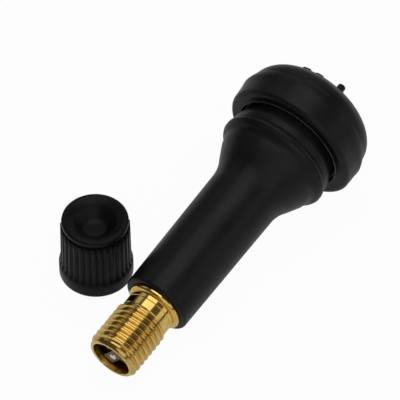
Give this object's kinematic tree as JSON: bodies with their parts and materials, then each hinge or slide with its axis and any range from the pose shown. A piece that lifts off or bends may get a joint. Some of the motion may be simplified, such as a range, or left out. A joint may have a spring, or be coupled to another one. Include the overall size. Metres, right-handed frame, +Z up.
{
  "type": "tyre valve",
  "caption": "Snap-in tubeless tyre valve: turned brass stem moulded into a black rubber body with a bulb, its screwed valve core, and the ribbed plastic cap standing beside it.",
  "frame": {"origin": "on the floor, under the middle of the bounding box of the valve and the cap", "axes": "+X from the stem's mouth towards the rubber bulb, seen from above; +Y from the valve towards the cap; +Z up. The valve's own axis rises 8.07 degrees above +X, because it lies on the bulb and on the cap thread"},
  "size_m": [0.0524, 0.0282, 0.0202],
  "materials": {
    "black_rubber": "satin moulded rubber",
    "black_plastic": "satin moulded plastic",
    "turned_brass": "bright turned",
    "bright_steel": "bright drawn",
    "seal_rubber": "matte",
    "gasket_ring": "matte"
  },
  "bodies": {
    "valve": {"rubber_body": "black_rubber", "stem": "turned_brass", "cap": "black_plastic"},
    "barrel": {"core_barrel": "turned_brass", "barrel_gasket": "gasket_ring", "core_spring": "bright_steel"},
    "plug": {"core_plug": "turned_brass"},
    "pin": {"core_pin": "bright_steel", "pin_cup": "turned_brass", "cup_seal": "seal_rubber"}
  },
  "joints": [
    {"name": "core_travel", "type": "slide", "parent": "valve", "child": "barrel", "axis": [-0.9901, 0, -0.1404], "range_m": [0, 0.00247]},
    {"name": "plug_turn", "type": "hinge", "parent": "barrel", "child": "plug", "pos_m": [-0.02572, -0.0042, 0.00372], "axis": [-0.9901, 0, -0.1404], "range_deg": [0, 1260]},
    {"name": "pin_press", "type": "slide", "parent": "barrel", "child": "pin", "axis": [0.9901, 0, 0.1404], "range_m": [0, 0.0016], "stiffness_N_per_m": 400, "springref_m": -0.002, "deforming": ["core_spring"]}
  ],
  "couplings": [
    {"joint": "plug_turn", "follows": "core_travel", "rad_per_m": 8899.7}
  ]
}
